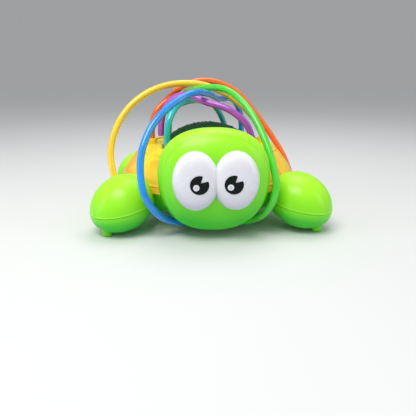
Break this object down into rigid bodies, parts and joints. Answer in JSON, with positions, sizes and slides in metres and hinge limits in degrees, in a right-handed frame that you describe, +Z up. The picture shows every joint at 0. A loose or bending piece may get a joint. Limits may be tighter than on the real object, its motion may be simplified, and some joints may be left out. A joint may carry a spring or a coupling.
{
  "type": "spinning tortoise lawn sprinkler",
  "caption": "Toy lawn sprinkler shaped like a tortoise, with a spinning rotor on its back that carries arching coloured hoses, and a click-fit hose inlet at the tail.",
  "frame": {"origin": "on the ground, in the middle of the tortoise's length and width without its loose hoses; the rotor's axis is 10 mm behind it", "axes": "+Z up along the rotor's axis, -Y the way the tortoise looks, +X to its left"},
  "size_m": [0.28, 0.2779, 0.1709],
  "materials": {
    "lime_plastic": "smooth moulded plastic, bright lime green",
    "shell_plastic": "moulded plastic, yellow fading to orange",
    "dome_plastic": "dark bottle green, glossy and knobbly",
    "eye_white": "white moulded plastic",
    "pupil_black": "printed black with a white glint",
    "inner_plastic": "natural moulded plastic",
    "inlet_plastic": "dark green hose fitting",
    "seal_rubber": "black rubber",
    "screw_steel": "zinc-plated steel",
    "hose_yellow": "soft glossy vinyl tube",
    "hose_orange": "soft glossy vinyl tube",
    "hose_blue": "soft glossy vinyl tube",
    "hose_green": "soft glossy vinyl tube",
    "hose_purple": "soft glossy vinyl tube",
    "hose_teal": "soft glossy vinyl tube"
  },
  "bodies": {
    "base": {"belly_pan": "lime_plastic", "eye_plate": "eye_white", "feed_pipe": "inner_plastic", "foot_bowl_front_left": "lime_plastic", "foot_bowl_front_right": "lime_plastic", "foot_bowl_rear_left": "lime_plastic", "foot_bowl_rear_right": "lime_plastic", "foot_cap_front_left": "lime_plastic", "foot_cap_front_right": "lime_plastic", "foot_cap_rear_left": "lime_plastic", "foot_cap_rear_right": "lime_plastic", "foot_screws": "screw_steel", "head_front": "lime_plastic", "head_rear": "lime_plastic", "head_screws": "screw_steel", "hose_spigot": "inlet_plastic", "inlet_nut": "inner_plastic", "pupil_left": "pupil_black", "pupil_right": "pupil_black", "retaining_screw": "screw_steel", "retaining_washer": "screw_steel", "shell": "shell_plastic", "shell_screws": "screw_steel", "spigot_seal": "seal_rubber", "spindle": "inner_plastic", "spindle_screws": "screw_steel", "spindle_seal_lower": "seal_rubber", "spindle_seal_upper": "seal_rubber", "thrust_washer": "inner_plastic"},
    "rotor": {"crown": "shell_plastic", "crown_screws": "screw_steel", "dome": "dome_plastic", "dome_screws": "screw_steel", "hose_blue": "hose_blue", "hose_green": "hose_green", "hose_orange": "hose_orange", "hose_purple": "hose_purple", "hose_teal": "hose_teal", "hose_yellow": "hose_yellow", "manifold": "inner_plastic"}
  },
  "joints": [
    {"name": "rotor_spin", "type": "hinge", "parent": "base", "child": "rotor", "pos_m": [0, 0.01, 0.08], "axis": [0, 0, 1], "continuous": true, "deforming": ["hose_yellow", "hose_orange", "hose_blue", "hose_green", "hose_purple", "hose_teal"]}
  ]
}
